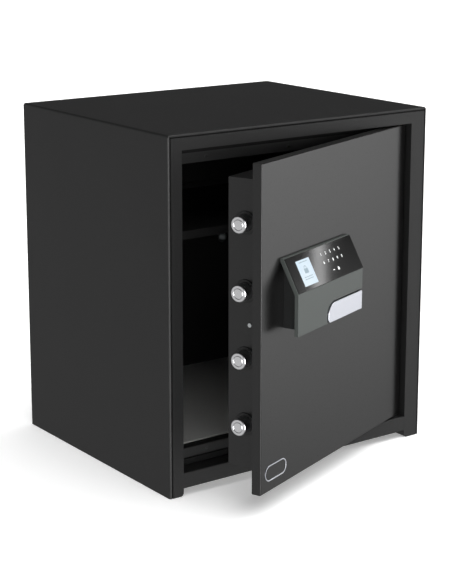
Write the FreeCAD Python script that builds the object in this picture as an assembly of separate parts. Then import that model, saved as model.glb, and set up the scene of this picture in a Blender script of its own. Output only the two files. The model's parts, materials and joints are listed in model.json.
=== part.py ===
import FreeCAD, Part
import math
import os

# Free-standing fireproof safe with an electronic lock. Millimetres, +Z up, origin at the
# centre of the cabinet's footprint on the floor. Sizes are read on the cabinet's own grid:
# u runs right from the left side, v runs back from the front face, z runs up.
# The door is drawn shut with v counted from its own face, then set back into the frame and
# swung open to its resting angle about the hinge.

WIDTH = 522.0
DEPTH = 440.0
HEIGHT = 575.0
SHEET = 2.0
EDGE_RADIUS = 4.0
REST_ANGLE = 21.2

# Front frame and rebate
STILE_LEFT = 26.0
STILE_RIGHT = WIDTH - 33.5
RAIL_BOTTOM = HEIGHT - 25.0
SILL_BOTTOM = 12.0
SILL_TOP = 38.0
TOE_DEPTH = 41.0
FOOT_RADIUS = 6.0
DOOR_SET = 9.0
REBATE = DOOR_SET + 21.0
FRAME_THICK = 3.0
SEAL_THICK = 4.5
FRAME_BACK = REBATE + FRAME_THICK

# Inner opening and liner
OPEN_LEFT = 45.0
OPEN_RIGHT = 469.0
OPEN_BOTTOM = 65.0
OPEN_TOP = 523.0
LINER_BACK = DEPTH - 50.0
FILL_FRONT = 43.0
POCKET_V = DOOR_SET + 42.0
POCKET_RADIUS = 15.5
DEAD_POCKET = 10.0
SCREW_SIDE_Z = (506.0, 406.0, 307.0, 243.0, 179.0, 83.0)
SCREW_ROW_U = (92.0, 252.0, 413.0)

# Fixing points and furniture
ANCHOR_SPACING = 240.0
ANCHOR_BACK_Z = 300.0
ANCHOR_RADIUS = 7.0
SLEEVE_RADIUS = 10.0
MAT_THICK = 3.0
SHELF_Z = 400.0
SHELF_FRONT = 89.0
PEG_RADIUS = 3.0
PEG_V = (119.0, 340.0)

# Door
HINGE_U = 476.0
HINGE_V = 8.0
PIN_V = DOOR_SET + HINGE_V
PIN_RADIUS = 4.0
PIN_CLEARANCE = 0.05
BUSH_RADIUS = 6.0
BUSH_LENGTH = 20.0
DOOR_LEFT = STILE_LEFT + 2.5
DOOR_RIGHT = STILE_RIGHT - 4.0
DOOR_BOTTOM = SILL_TOP + 2.5
DOOR_TOP = RAIL_BOTTOM - 2.5
DOOR_THICK = 16.0
PLATE_BACK = DOOR_THICK + 5
SKIN = 3.0
BOX_LEFT = 51.0
BOX_RIGHT = 462.0
BOX_BOTTOM = 72.0
BOX_TOP = 519.0
BOX_BACK = 72.0
BOX_WALL = 2.5
COVER_THICK = 2.5
COVER_FRONT = BOX_BACK - COVER_THICK

# Bolt work
BOLT_RADIUS = 13.0
COLLAR_RADIUS = 15.5
BOLT_V = 42.0
BOLT_Z = (140.5, 244.5, 348.5, 452.5)
BOLT_TIP = 30.5
BOLT_THROW = 21.0
BOLT_END = 106.0
BAR_FRONT = 50.0
BAR_THICK = 6.0
BAR_BACK = BAR_FRONT + BAR_THICK
BAR_LEFT = 84.0
BAR_RIGHT = 112.0
GUIDE_Z = (202.0, 406.0)
GUIDE_U = 145.0
GUIDE_RADIUS = 4.0
LEVER_TURN = 50.0
PIVOT_U = 190.0
PIVOT_Z = 292.0
SPINDLE_RADIUS = 6.0
BUSH_HOLE = 8.0
CAM_FRONT = 42.0
CAM_BACK = 49.0
CAM_RADIUS = BOLT_THROW / 2 / math.sin(math.radians(LEVER_TURN / 2))
CAM_PIN_RADIUS = 4.0
CAM_PIN_U = PIVOT_U - BOLT_THROW / 2
CAM_PIN_Z = PIVOT_Z + CAM_RADIUS * math.cos(math.radians(LEVER_TURN / 2))
ARM_BOTTOM = 302.0
ARM_TOP = 334.0
PLUNGER_U = 241.0
PLUNGER_RADIUS = 3.0
DEAD_BOLT_Z = (180.0, 420.0)
DEAD_BOLT_RADIUS = 8.0

# Lock unit on the door's face: depths are ahead of the door, so v is negative
UNIT_LEFT = 80.5
UNIT_RIGHT = 281.0
UNIT_BOTTOM = 281.0
FOLD_Z = 346.0
UNIT_TOP = 398.0
FOLD_DEPTH = 32.0
TOP_DEPTH = 5.0
FASCIA_THICK = 6.5
HOUSING_INSET = 10.0
HOUSING_BOTTOM = UNIT_BOTTOM + 8.0
HOUSING_WALL = 2.5
LEVER_LEFT = PIVOT_U - 20.0
LEVER_RIGHT = 276.5
LEVER_BOTTOM = 282.0
LEVER_TOP = PIVOT_Z + 20.0
LEVER_GAP = 1.5
POCKET_BACK = -21.0
UNIT_SCREWS = ((100.0, 300.0), (100.0, 350.0), (266.0, 325.0))
CABLE_U = 225.0
CABLE_Z = 330.0
CABLE_V = 31.0
CABLE_RADIUS = 2.0

# Lock case behind the bolt work
CASE_LEFT = 211.0
CASE_RIGHT = 271.0
CASE_BOTTOM = 340.0
CASE_TOP = 400.0
CASE_BACK = 60.0

# Battery box in the door's back
CELL_RADIUS = 7.25
CELL_LENGTH = 50.5
CELL_Z = (395.0, 411.0, 427.0, 443.0)
CELL_V = 58.0
TRAY_LEFT = 318.0
TRAY_RIGHT = 392.0
TRAY_BOTTOM = 386.0
TRAY_TOP = 464.0
TRAY_FRONT = 46.0

PARTS = "parts"


# ---------------------------------------------------------------- drawing helpers

def point(u, v, z):
    return FreeCAD.Vector(u - WIDTH / 2, v - DEPTH / 2, z)


def block(u0, u1, v0, v1, z0, z1):
    return Part.makeBox(u1 - u0, v1 - v0, z1 - z0, point(u0, v0, z0))


AXES = {
    "u": FreeCAD.Vector(1, 0, 0),
    "v": FreeCAD.Vector(0, 1, 0),
    "z": FreeCAD.Vector(0, 0, 1),
}


def rod(u, v, z, radius, length, along):
    return Part.makeCylinder(radius, length, point(u, v, z), AXES[along])


def cone(u, v, z, radius_0, radius_1, length, along):
    return Part.makeCone(radius_0, radius_1, length, point(u, v, z), AXES[along])


def side_profile(outline, u0, u1):
    """A closed outline of (v, z) corners, carried across from u0 to u1."""
    corners = [point(u0, v, z) for v, z in outline]
    face = Part.Face(Part.makePolygon(corners + corners[:1]))
    return face.extrude(FreeCAD.Vector(u1 - u0, 0, 0))


def joined(shapes):
    first = shapes[0]
    if len(shapes) == 1:
        return first
    return first.multiFuse(shapes[1:]).removeSplitter()


def without(shape, tools):
    for tool in tools:
        shape = shape.cut(tool)
    return shape


def edges_at(shape, u=None, v=None, z=None, along=None):
    """Straight edges whose middle lies at the stations given, running along one axis."""
    found = []
    for edge in shape.Edges:
        middle = edge.CenterOfMass
        stations = ((u, middle.x + WIDTH / 2), (v, middle.y + DEPTH / 2), (z, middle.z))
        if any(want is not None and abs(want - have) > 0.01 for want, have in stations):
            continue
        if along is not None:
            start, end = edge.Vertexes[0].Point, edge.Vertexes[-1].Point
            run = end.sub(start)
            if run.Length < 0.01 or abs(run.normalize().dot(AXES[along])) < 0.999:
                continue
        found.append(edge)
    return found


def hung(shape):
    """Set a door part back into the frame and swing it to the resting angle."""
    turned = shape.copy()
    turned.translate(AXES["v"] * DOOR_SET)
    turned.rotate(point(HINGE_U, PIN_V, 0), AXES["z"], REST_ANGLE)
    return turned


def countersunk(u, v, z, head_radius, shank_radius, length, side=1):
    """A countersunk screw along v with its head's flat at v; side -1 points it forward."""
    head_depth = head_radius - shank_radius
    direction = FreeCAD.Vector(0, side, 0)
    head = Part.makeCone(head_radius, shank_radius, head_depth, point(u, v, z), direction)
    shank = Part.makeCylinder(shank_radius, length, point(u, v, z), direction)
    return head.fuse(shank)


# ---------------------------------------------------------------- cabinet

def foot_corner(u, inward):
    """What is cut away to round a stile's lower corner; inward is +1 or -1 towards the stile."""
    low, high = sorted((u, u + inward * FOOT_RADIUS))
    corner = block(low, high, -1, REBATE + 1, 0, FOOT_RADIUS)
    keep = rod(u + inward * FOOT_RADIUS, -1, FOOT_RADIUS, FOOT_RADIUS, REBATE + 2, "v")
    return corner.cut(keep)


def outer_shell():
    body = block(0, WIDTH, 0, DEPTH, 0, HEIGHT)
    edges = edges_at(body, z=HEIGHT) + edges_at(body, v=0, along="z")
    body = body.makeFillet(EDGE_RADIUS, edges)
    inside = block(SHEET, WIDTH - SHEET, SHEET, DEPTH + 1, -1, HEIGHT - SHEET)
    opening = block(STILE_LEFT, STILE_RIGHT, -1, SHEET + 1, -1, RAIL_BOTTOM)
    shell = without(body, [inside, opening])
    jamb_left = block(STILE_LEFT - SHEET, STILE_LEFT, SHEET, REBATE, 0, RAIL_BOTTOM + SHEET)
    jamb_right = block(STILE_RIGHT, STILE_RIGHT + SHEET, SHEET, REBATE, 0, RAIL_BOTTOM + SHEET)
    head = block(STILE_LEFT, STILE_RIGHT, SHEET, REBATE, RAIL_BOTTOM, RAIL_BOTTOM + SHEET)
    shell = joined([shell, jamb_left, jamb_right, head])
    pin_hole = rod(HINGE_U, PIN_V, RAIL_BOTTOM - 1, PIN_RADIUS, SHEET + 2, "z")
    corners = [foot_corner(STILE_LEFT, -1), foot_corner(STILE_RIGHT, 1)]
    return without(shell, corners + [pin_hole])


def anchor_u():
    return (WIDTH / 2 - ANCHOR_SPACING / 2, WIDTH / 2 + ANCHOR_SPACING / 2)


def base_holes(radius, low, high):
    return [rod(u, DEPTH / 2, low, radius, high - low, "z") for u in anchor_u()]


def back_holes(radius, front, back):
    return [rod(u, front, ANCHOR_BACK_Z, radius, back - front, "v") for u in anchor_u()]


def base_panel():
    sill = side_profile(
        [
            (0, SILL_BOTTOM), (REBATE, SILL_BOTTOM), (REBATE, SILL_BOTTOM + SHEET),
            (SHEET, SILL_BOTTOM + SHEET), (SHEET, SILL_TOP - SHEET), (REBATE, SILL_TOP - SHEET),
            (REBATE, SILL_TOP), (0, SILL_TOP),
        ],
        STILE_LEFT, STILE_RIGHT,
    )
    nose = edges_at(sill, v=0, z=SILL_TOP, along="u") + edges_at(sill, v=0, z=SILL_BOTTOM, along="u")
    sill = sill.makeFillet(SHEET * 0.9, nose)
    step = block(SHEET, WIDTH - SHEET, REBATE, TOE_DEPTH, SILL_BOTTOM, SILL_BOTTOM + SHEET)
    riser = block(SHEET, WIDTH - SHEET, TOE_DEPTH - SHEET, TOE_DEPTH, 0, SILL_BOTTOM)
    floor = block(SHEET, WIDTH - SHEET, TOE_DEPTH, DEPTH, 0, SHEET)
    panel = joined([sill, step, riser, floor])
    pin_hole = rod(HINGE_U, PIN_V, SILL_TOP - SHEET - 1, PIN_RADIUS, SHEET + 2, "z")
    return without(panel, base_holes(SLEEVE_RADIUS, -1, SHEET + 1) + [pin_hole])


def back_panel():
    panel = block(SHEET, WIDTH - SHEET, DEPTH - SHEET, DEPTH, SHEET, HEIGHT - SHEET)
    return without(panel, back_holes(SLEEVE_RADIUS, DEPTH - SHEET - 1, DEPTH + 1))


def frame_screw_places():
    sides = [(u, z) for u in (OPEN_LEFT - 5, OPEN_RIGHT + 7) for z in SCREW_SIDE_Z]
    rows = [(u, z) for u in SCREW_ROW_U for z in (OPEN_BOTTOM - 8, OPEN_TOP + 8)]
    return sides + rows


def frame_screw(u, z):
    return countersunk(u, REBATE, z, 3.6, 2.0, 7.0)


def inner_frame():
    plate = block(
        SHEET, WIDTH - SHEET, REBATE, FRAME_BACK, SILL_BOTTOM + SHEET, HEIGHT - SHEET
    )
    opening = block(
        OPEN_LEFT, OPEN_RIGHT, REBATE - 1, FRAME_BACK + 1, OPEN_BOTTOM, OPEN_TOP
    )
    return without(plate, [opening] + [frame_screw(u, z) for u, z in frame_screw_places()])


def inner_frame_screws():
    return Part.makeCompound([frame_screw(u, z) for u, z in frame_screw_places()])


def fire_seal():
    front, width = REBATE - SEAL_THICK, 9.0
    left, right = STILE_LEFT + 2, HINGE_U - 8
    low, high = SILL_TOP + 2, RAIL_BOTTOM - 1
    bottom_run = block(left, right, front, REBATE, low, low + width)
    top_run = block(left, right, front, REBATE, high - width, high)
    side_run = block(left, left + 6, front, REBATE, low + width, high - width)
    return joined([bottom_run, top_run, side_run])


def bolt_pockets(left, right):
    return [rod(left, POCKET_V, z, POCKET_RADIUS, right - left, "u") for z in BOLT_Z]


def dead_bolt_pockets(left, right):
    front, back = POCKET_V - DEAD_POCKET - 2, POCKET_V + DEAD_POCKET + 4
    return [
        block(left, right, front, back, z - DEAD_POCKET, z + DEAD_POCKET) for z in DEAD_BOLT_Z
    ]


def peg_holes(left, right):
    return [
        rod(left, v, SHELF_Z - PEG_RADIUS, PEG_RADIUS, right - left, "u") for v in PEG_V
    ]


def liner():
    outer = block(
        OPEN_LEFT - SHEET, OPEN_RIGHT + SHEET, FRAME_BACK, LINER_BACK + SHEET,
        OPEN_BOTTOM - SHEET, OPEN_TOP + SHEET,
    )
    flange = block(
        OPEN_LEFT - 12, OPEN_RIGHT + 12, FRAME_BACK, FRAME_BACK + SHEET,
        OPEN_BOTTOM - 12, OPEN_TOP + 12,
    )
    cavity = block(OPEN_LEFT, OPEN_RIGHT, FRAME_BACK - 1, LINER_BACK, OPEN_BOTTOM, OPEN_TOP)
    shell = joined([outer, flange]).cut(cavity)
    left, right = OPEN_LEFT - SHEET, OPEN_RIGHT + SHEET
    holes = bolt_pockets(left - 1, OPEN_LEFT + 1) + peg_holes(left - 1, OPEN_LEFT + 1)
    holes += dead_bolt_pockets(OPEN_RIGHT - 1, right + 1) + peg_holes(OPEN_RIGHT - 1, right + 1)
    holes += base_holes(SLEEVE_RADIUS, OPEN_BOTTOM - SHEET - 1, OPEN_BOTTOM + 1)
    holes += back_holes(SLEEVE_RADIUS, LINER_BACK - 1, LINER_BACK + SHEET + 1)
    holes += [frame_screw(u, z) for u, z in frame_screw_places()]
    return without(shell, holes)


def insulation_left():
    slab = block(SHEET, OPEN_LEFT - SHEET, FILL_FRONT, LINER_BACK + SHEET, SHEET, HEIGHT - SHEET)
    return without(slab, bolt_pockets(BOLT_TIP - 4, OPEN_LEFT))


def insulation_right():
    left = OPEN_RIGHT + SHEET
    slab = block(left, WIDTH - SHEET, FILL_FRONT, LINER_BACK + SHEET, SHEET, HEIGHT - SHEET)
    return without(slab, dead_bolt_pockets(left - 1, HINGE_U + 5))


def insulation_top():
    return block(
        OPEN_LEFT - SHEET, OPEN_RIGHT + SHEET, FILL_FRONT, LINER_BACK + SHEET,
        OPEN_TOP + SHEET, HEIGHT - SHEET,
    )


def insulation_base():
    slab = block(
        OPEN_LEFT - SHEET, OPEN_RIGHT + SHEET, FILL_FRONT, LINER_BACK + SHEET,
        SHEET, OPEN_BOTTOM - SHEET,
    )
    return without(slab, base_holes(SLEEVE_RADIUS, 0, OPEN_BOTTOM))


def insulation_back():
    slab = block(SHEET, WIDTH - SHEET, LINER_BACK + SHEET, DEPTH - SHEET, SHEET, HEIGHT - SHEET)
    return without(slab, back_holes(SLEEVE_RADIUS, LINER_BACK, DEPTH))


def anchor_sleeves_base():
    outer = base_holes(SLEEVE_RADIUS, 0, OPEN_BOTTOM)
    inner = base_holes(ANCHOR_RADIUS, -1, OPEN_BOTTOM + 1)
    return Part.makeCompound([tube.cut(hole) for tube, hole in zip(outer, inner)])


def anchor_sleeves_back():
    outer = back_holes(SLEEVE_RADIUS, LINER_BACK, DEPTH)
    inner = back_holes(ANCHOR_RADIUS, LINER_BACK - 1, DEPTH + 1)
    return Part.makeCompound([tube.cut(hole) for tube, hole in zip(outer, inner)])


def anchor_washers():
    outer = base_holes(13.5, OPEN_BOTTOM, OPEN_BOTTOM + 1.5)
    inner = base_holes(ANCHOR_RADIUS, OPEN_BOTTOM - 1, OPEN_BOTTOM + 3)
    return Part.makeCompound([disc.cut(hole) for disc, hole in zip(outer, inner)])


def floor_mat():
    mat = block(
        OPEN_LEFT + 2, OPEN_RIGHT - 2, FRAME_BACK + 15, LINER_BACK - 2,
        OPEN_BOTTOM, OPEN_BOTTOM + MAT_THICK,
    )
    return without(mat, base_holes(14.0, OPEN_BOTTOM - 1, OPEN_BOTTOM + MAT_THICK + 1))


def shelf():
    left, right, back = OPEN_LEFT + 2, OPEN_RIGHT - 2, LINER_BACK - 6
    tray = block(left, right, SHELF_FRONT, back, SHELF_Z, SHELF_Z + SHEET)
    lip = block(left, right, SHELF_FRONT, SHELF_FRONT + SHEET, SHELF_Z - 12, SHELF_Z)
    upstand = block(left, right, back - SHEET, back, SHELF_Z + SHEET, SHELF_Z + 12)
    return joined([tray, lip, upstand])


def shelf_pegs():
    left = peg_holes(OPEN_LEFT - SHEET, OPEN_LEFT + 12)
    right = peg_holes(OPEN_RIGHT - 12, OPEN_RIGHT + SHEET)
    return Part.makeCompound(left + right)


def hinge_mount(low, high):
    mount = block(HINGE_U - 12, STILE_RIGHT, SHEET, REBATE, low, high)
    return mount.cut(rod(HINGE_U, PIN_V, low - 1, PIN_RADIUS, high - low + 2, "z"))


UPPER_MOUNT = (RAIL_BOTTOM + SHEET, RAIL_BOTTOM + SHEET + 18)
LOWER_MOUNT = (SILL_TOP - SHEET - 18, SILL_TOP - SHEET)


def hinge_mount_upper():
    return hinge_mount(*UPPER_MOUNT)


def hinge_mount_lower():
    return hinge_mount(*LOWER_MOUNT)


def hinge_pin_upper():
    low = DOOR_TOP - BUSH_LENGTH
    return rod(HINGE_U, PIN_V, low, PIN_RADIUS, UPPER_MOUNT[1] - low, "z")


def hinge_pin_lower():
    high = DOOR_BOTTOM + BUSH_LENGTH - 0.5
    return rod(HINGE_U, PIN_V, LOWER_MOUNT[0], PIN_RADIUS, high - LOWER_MOUNT[0], "z")


def hinge_washer():
    height = DOOR_BOTTOM - SILL_TOP
    disc = rod(HINGE_U, PIN_V, SILL_TOP, PIN_RADIUS * 2, height, "z")
    return disc.cut(rod(HINGE_U, PIN_V, SILL_TOP - 1, PIN_RADIUS, height + 2, "z"))


# ---------------------------------------------------------------- door

def spindle_hole(radius, front, back):
    return rod(PIVOT_U, front, PIVOT_Z, radius, back - front, "v")


def through_holes(front, back):
    """Holes that the spindle's bush, the cable and the lock unit's screws pass through."""
    holes = [spindle_hole(BUSH_HOLE, front, back)]
    holes.append(rod(CABLE_U, front, CABLE_Z, 5.0, back - front, "v"))
    holes += [rod(u, front, z, 2.5, back - front, "v") for u, z in UNIT_SCREWS]
    return holes


def bush_holes():
    low = rod(HINGE_U, HINGE_V, DOOR_BOTTOM - 1, BUSH_RADIUS, BUSH_LENGTH + 1, "z")
    high = rod(HINGE_U, HINGE_V, DOOR_TOP - BUSH_LENGTH, BUSH_RADIUS, BUSH_LENGTH + 1, "z")
    return [low, high]


def door_skin():
    body = block(DOOR_LEFT, DOOR_RIGHT, 0, DOOR_THICK, DOOR_BOTTOM, DOOR_TOP)
    body = body.makeFillet(1.5, edges_at(body, v=0))
    inside = block(
        DOOR_LEFT + SKIN, DOOR_RIGHT - SKIN, SKIN, DOOR_THICK + 1,
        DOOR_BOTTOM + SKIN, DOOR_TOP - SKIN,
    )
    return without(body, [inside] + through_holes(-1, SKIN + 1) + bush_holes())


def door_inner_plate():
    plate = block(
        DOOR_LEFT + SKIN, DOOR_RIGHT - SKIN, DOOR_THICK - SKIN, DOOR_THICK,
        DOOR_BOTTOM + SKIN, DOOR_TOP - SKIN,
    )
    return without(plate, through_holes(SKIN, DOOR_THICK + 1) + bush_holes())


def door_insulation():
    slab = block(
        DOOR_LEFT + SKIN, HINGE_U - 10, SKIN, DOOR_THICK - SKIN,
        DOOR_BOTTOM + SKIN, DOOR_TOP - SKIN,
    )
    return without(slab, through_holes(0, DOOR_THICK))


def door_hinge_blocks():
    ends = ((DOOR_BOTTOM + SKIN, DOOR_BOTTOM + SKIN + 22), (DOOR_TOP - SKIN - 22, DOOR_TOP - SKIN))
    blocks = []
    for low, high in ends:
        solid = block(HINGE_U - 9, DOOR_RIGHT - SKIN, SKIN, DOOR_THICK - SKIN, low, high)
        blocks.append(without(solid, bush_holes()))
    return Part.makeCompound(blocks)


def hinge_bushes():
    bore = PIN_RADIUS + PIN_CLEARANCE
    bushes = []
    for low in (DOOR_BOTTOM, DOOR_TOP - BUSH_LENGTH):
        tube = rod(HINGE_U, HINGE_V, low, BUSH_RADIUS, BUSH_LENGTH, "z")
        bushes.append(tube.cut(rod(HINGE_U, HINGE_V, low - 1, bore, BUSH_LENGTH + 2, "z")))
    return Part.makeCompound(bushes)


def cover_screw_places():
    inset = 7.0
    left, right = BOX_LEFT + inset, BOX_RIGHT - inset
    low, high = BOX_BOTTOM + inset, BOX_TOP - inset
    middle_u, middle_z = (left + right) / 2, (low + high) / 2
    corners = [(u, z) for u in (left, right) for z in (low, high)]
    return corners + [(left, middle_z), (right, middle_z), (middle_u, low), (middle_u, high)]


def cover_screw(u, z):
    return countersunk(u, BOX_BACK, z, 4.2, 2.2, 7.0, side=-1)


BATTERY_SCREW = ((TRAY_LEFT + TRAY_RIGHT) / 2, TRAY_TOP - 5)


def cover_screws():
    return Part.makeCompound([cover_screw(u, z) for u, z in cover_screw_places() + [BATTERY_SCREW]])


def side_screw():
    v, z, head_thick = 34.0, 297.0, 1.4
    head = rod(BOX_LEFT - head_thick, v, z, 3.2, head_thick, "u")
    return head.fuse(rod(BOX_LEFT, v, z, 2.0, 8, "u"))


def door_box():
    outer = block(BOX_LEFT, BOX_RIGHT, DOOR_THICK, COVER_FRONT, BOX_BOTTOM, BOX_TOP)
    low_u, high_u = BOX_LEFT + BOX_WALL, BOX_RIGHT - BOX_WALL
    low_z, high_z = BOX_BOTTOM + BOX_WALL, BOX_TOP - BOX_WALL
    cavity = block(low_u, high_u, DOOR_THICK - 1, COVER_FRONT - BOX_WALL, low_z, high_z)
    rim = 10.0
    mouth = block(
        low_u + rim, high_u - rim, COVER_FRONT - BOX_WALL - 1, COVER_FRONT + 1,
        low_z + rim, high_z - rim,
    )
    run = BOX_WALL + 2
    holes = [rod(BOX_LEFT - 1, BOLT_V, z, COLLAR_RADIUS, run, "u") for z in BOLT_Z]
    holes += [rod(high_u - 1, BOLT_V, z, DEAD_BOLT_RADIUS, run, "u") for z in DEAD_BOLT_Z]
    holes += [cover_screw(u, z) for u, z in cover_screw_places()] + [side_screw()]
    return without(outer, [cavity, mouth] + holes)


def door_back_cover():
    cover = block(BOX_LEFT, BOX_RIGHT, COVER_FRONT, BOX_BACK, BOX_BOTTOM, BOX_TOP)
    hatch = block(TRAY_LEFT, TRAY_RIGHT, COVER_FRONT - 1, BOX_BACK + 1, TRAY_BOTTOM, TRAY_TOP)
    return without(cover, [hatch] + [cover_screw(u, z) for u, z in cover_screw_places()])


def battery_tray():
    rim = 4.0
    low, high = TRAY_BOTTOM - rim, TRAY_TOP + rim
    outer = block(TRAY_LEFT - rim, TRAY_RIGHT + rim, TRAY_FRONT, COVER_FRONT, low, high)
    cavity = block(TRAY_LEFT, TRAY_RIGHT, TRAY_FRONT + 2.5, COVER_FRONT + 1, TRAY_BOTTOM, TRAY_TOP - 10)
    return without(outer, [cavity, cover_screw(*BATTERY_SCREW)])


def batteries():
    left = (TRAY_LEFT + TRAY_RIGHT - CELL_LENGTH) / 2
    cells = []
    for z in CELL_Z:
        cell = rod(left, CELL_V, z, CELL_RADIUS, CELL_LENGTH - 1.5, "u")
        cells.append(cell.fuse(rod(left + CELL_LENGTH - 1.5, CELL_V, z, 2.7, 1.5, "u")))
    return Part.makeCompound(cells)


def battery_cover():
    gap = 0.5
    lid = block(
        TRAY_LEFT + gap, TRAY_RIGHT - gap, COVER_FRONT, BOX_BACK, TRAY_BOTTOM + gap, TRAY_TOP - gap
    )
    return lid.cut(cover_screw(*BATTERY_SCREW))


def drill_plate():
    left, right = PIVOT_U - 69, PIVOT_U + 71
    low, high = PIVOT_Z - 57, PIVOT_Z + 73
    plate = block(left, right, DOOR_THICK, PLATE_BACK, low, high)
    return without(plate, through_holes(DOOR_THICK - 1, PLATE_BACK + 1))


def dead_bolts():
    bolts = []
    for z in DEAD_BOLT_Z:
        inside = BOX_RIGHT - BOX_WALL
        shank = rod(inside, BOLT_V, z, DEAD_BOLT_RADIUS, HINGE_U - inside, "u")
        bolts.append(shank.fuse(rod(inside - 7, BOLT_V, z, 12.0, 7, "u")))
    return Part.makeCompound(bolts)


def bolt_collars():
    collars = []
    for z in BOLT_Z:
        body = rod(BOX_LEFT, BOLT_V, z, COLLAR_RADIUS, 8, "u")
        flange = rod(BOX_LEFT - 2, BOLT_V, z, COLLAR_RADIUS + 2.5, 2, "u")
        bore = rod(BOX_LEFT - 3, BOLT_V, z, BOLT_RADIUS + 0.08, 12, "u")
        collars.append(body.fuse(flange).cut(bore))
    return Part.makeCompound(collars)


def guide_pins():
    pins = []
    for z in GUIDE_Z:
        post = rod(GUIDE_U, DOOR_THICK, z, 6.0, BAR_FRONT - 0.3 - DOOR_THICK, "v")
        shank = rod(GUIDE_U, DOOR_THICK, z, GUIDE_RADIUS, BAR_BACK + 0.4 - DOOR_THICK, "v")
        head = rod(GUIDE_U, BAR_BACK + 0.4, z, 7.0, 3, "v")
        pins.append(joined([post, shank, head]))
    return Part.makeCompound(pins)


def lock_case():
    wall, nose = 3.0, 18.0
    case = block(CASE_LEFT, CASE_RIGHT, PLATE_BACK, CASE_BACK, CASE_BOTTOM, CASE_TOP)
    cavity = block(
        CASE_LEFT + wall, CASE_RIGHT - wall, PLATE_BACK + wall, CASE_BACK + 1,
        CASE_BOTTOM + nose, CASE_TOP - wall,
    )
    low, run = CASE_BOTTOM - 1, nose + 2
    bore = rod(PLUNGER_U, BAR_FRONT + 3, low, PLUNGER_RADIUS + PIN_CLEARANCE, run, "z")
    cable = rod(CABLE_U, CABLE_V, low, CABLE_RADIUS, run, "z")
    return without(case, [cavity, bore, cable])


def lock_case_lid():
    return block(CASE_LEFT, CASE_RIGHT, CASE_BACK, CASE_BACK + SHEET, CASE_BOTTOM, CASE_TOP)


def lock_motor():
    left, v, z, length = CASE_LEFT + 6, 34.0, CASE_BOTTOM + 38, 30.0
    can = rod(left, v, z, 8.0, length, "u")
    return can.fuse(rod(left + length, v, z, 1.5, 8, "u"))


def lock_harness():
    bend = 8.0
    end_v, end_z = CABLE_V, CASE_BOTTOM + 18
    start = point(CABLE_U, -14, CABLE_Z)
    bend_start = point(CABLE_U, end_v - bend, CABLE_Z)
    bend_end = point(CABLE_U, end_v, CABLE_Z + bend)
    turn = bend * math.cos(math.radians(45))
    bend_middle = point(CABLE_U, end_v - bend + turn, CABLE_Z + bend - turn)
    route = Part.Wire([
        Part.LineSegment(start, bend_start).toShape(),
        Part.Arc(bend_start, bend_middle, bend_end).toShape(),
        Part.LineSegment(bend_end, point(CABLE_U, end_v, end_z)).toShape(),
    ])
    ring = Part.Wire([Part.Circle(start, AXES["v"], CABLE_RADIUS).toShape()])
    return route.makePipeShell([ring], True, False)


# ---------------------------------------------------------------- bolt work

def bolts():
    solids = []
    for z in BOLT_Z:
        bolt = rod(BOLT_TIP, BOLT_V, z, BOLT_RADIUS, BOLT_END - BOLT_TIP, "u")
        bolt = bolt.makeChamfer(1.0, edges_at(bolt, u=BOLT_TIP, v=BOLT_V, z=z))
        flat = block(76, BOLT_END + 1, BAR_FRONT, BAR_FRONT + 10, z - 15, z + 15)
        solids.append(without(bolt, [flat, bolt_screw(z)]))
    return Part.makeCompound(solids)


def bolt_screw(z):
    middle = (BAR_LEFT + BAR_RIGHT) / 2 - 3
    shank = rod(middle, BAR_BACK - 20, z, 4.0, 20, "v")
    return shank.fuse(rod(middle, BAR_BACK, z, 6.5, 5, "v"))


def bolt_screws():
    return Part.makeCompound([bolt_screw(z) for z in BOLT_Z])


def bar_plate(u0, u1, z0, z1):
    return block(u0, u1, BAR_FRONT, BAR_BACK, z0, z1)


def slot_cut(u0, u1, z0, z1):
    return block(u0, u1, BAR_FRONT - 1, BAR_BACK + 1, z0, z1)


def bolt_bar():
    pieces = [bar_plate(BAR_LEFT, BAR_RIGHT, BOLT_Z[0] - 18, BOLT_Z[-1] + 18)]
    pieces += [bar_plate(BAR_RIGHT, GUIDE_U + 11, z - 10, z + 10) for z in GUIDE_Z]
    pieces.append(bar_plate(BAR_RIGHT, PLUNGER_U + 15, ARM_BOTTOM, ARM_TOP))
    bar = joined(pieces)
    play = GUIDE_RADIUS + 0.1
    end = GUIDE_RADIUS + 0.4
    left, right = GUIDE_U - BOLT_THROW - end, GUIDE_U + end
    cuts = [slot_cut(left, right, z - play, z + play) for z in GUIDE_Z]
    slack, reach = CAM_PIN_RADIUS + 0.3, CAM_PIN_RADIUS + 0.5
    low, high = CAM_PIN_Z - reach, PIVOT_Z + CAM_RADIUS + reach
    cuts.append(slot_cut(CAM_PIN_U - slack, CAM_PIN_U + slack, low, high))
    for u in (PLUNGER_U, PLUNGER_U - BOLT_THROW):
        cuts.append(slot_cut(u - 3.6, u + 3.6, ARM_TOP - 9, ARM_TOP + 1))
    return without(bar, cuts + [bolt_screw(z) for z in BOLT_Z])


def lock_plunger():
    return rod(PLUNGER_U, BAR_FRONT + 3, ARM_TOP + 2, PLUNGER_RADIUS, 36, "z")


# ---------------------------------------------------------------- lock unit and lever

def slope():
    """Unit vectors up the sloped panel and into it, as (v, z)."""
    run_v, run_z = FOLD_DEPTH - TOP_DEPTH, UNIT_TOP - FOLD_Z
    length = math.hypot(run_v, run_z)
    return (run_v / length, run_z / length), (run_z / length, -run_v / length), length


def slope_point(distance, depth):
    """A point at a distance up the panel from the fold and a depth behind its face."""
    up, inward, _ = slope()
    v = -FOLD_DEPTH + distance * up[0] + depth * inward[0]
    z = FOLD_Z + distance * up[1] + depth * inward[1]
    return (v, z)


def behind_face(depth):
    """The bent line at a depth behind the unit's front: fold corner, then where it meets v=0."""
    up, inward, _ = slope()
    start_v, start_z = slope_point(0, depth)
    to_fold = (-FOLD_DEPTH + depth - start_v) / up[0]
    to_door = -start_v / up[0]
    fold = (-FOLD_DEPTH + depth, start_z + to_fold * up[1])
    return fold, (0.0, start_z + to_door * up[1])


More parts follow.
